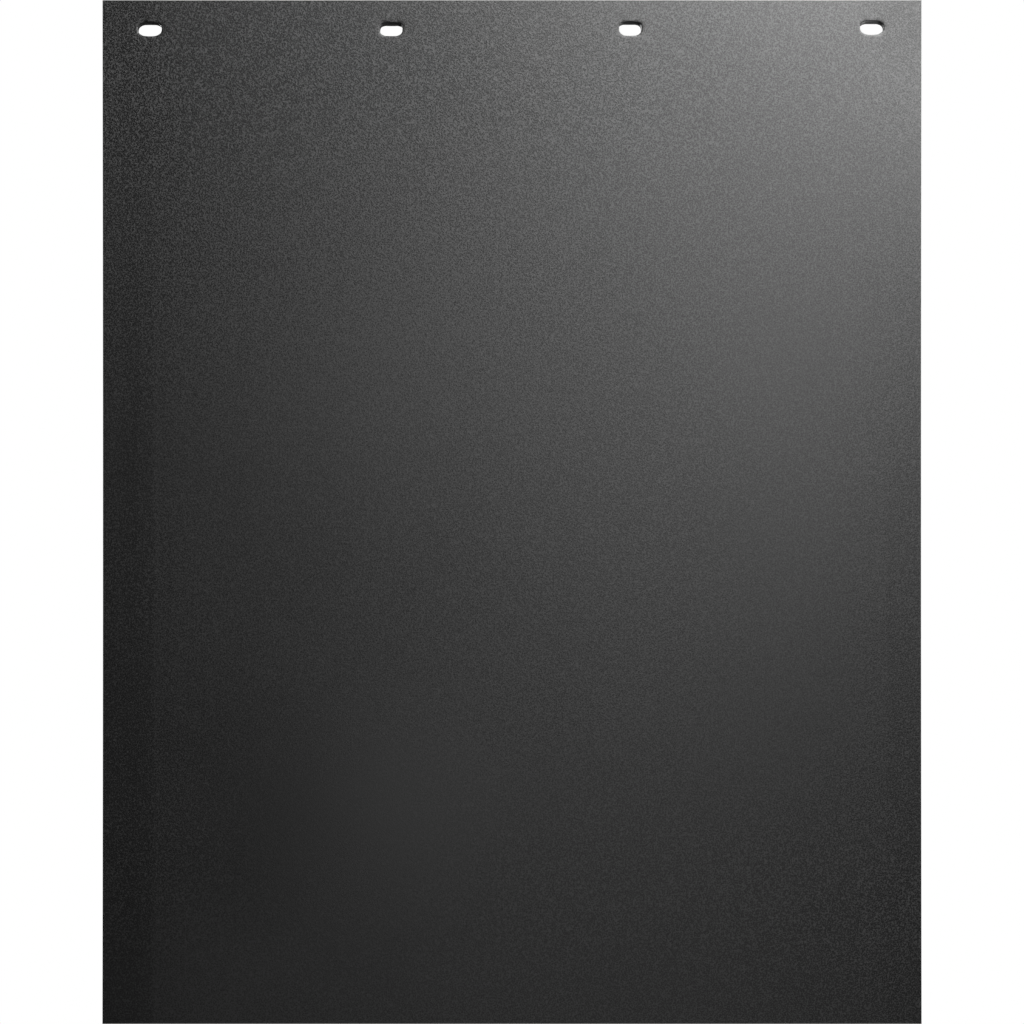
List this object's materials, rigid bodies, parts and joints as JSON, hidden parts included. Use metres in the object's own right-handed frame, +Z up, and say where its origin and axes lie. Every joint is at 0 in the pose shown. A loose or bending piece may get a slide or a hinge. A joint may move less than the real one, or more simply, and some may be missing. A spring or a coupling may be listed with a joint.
{
  "type": "mud flap",
  "caption": "Flat rectangular black polymer mud flap for a truck or trailer, with a row of bolt slots along its top edge.",
  "frame": {"origin": "middle of the row of bolt slots, on the back face, which lies against the hanger bar", "axes": "+X across the flap along the slot row, +Y out of the back face towards the hanger bar, +Z up the flap to its slotted edge; the face seen from behind the vehicle looks towards -Y"},
  "size_m": [0.6096, 0.0063, 0.762],
  "materials": {
    "black_polymer": "matte"
  },
  "bodies": {
    "root": {"flap_sheet": "black_polymer"}
  },
  "joints": []
}
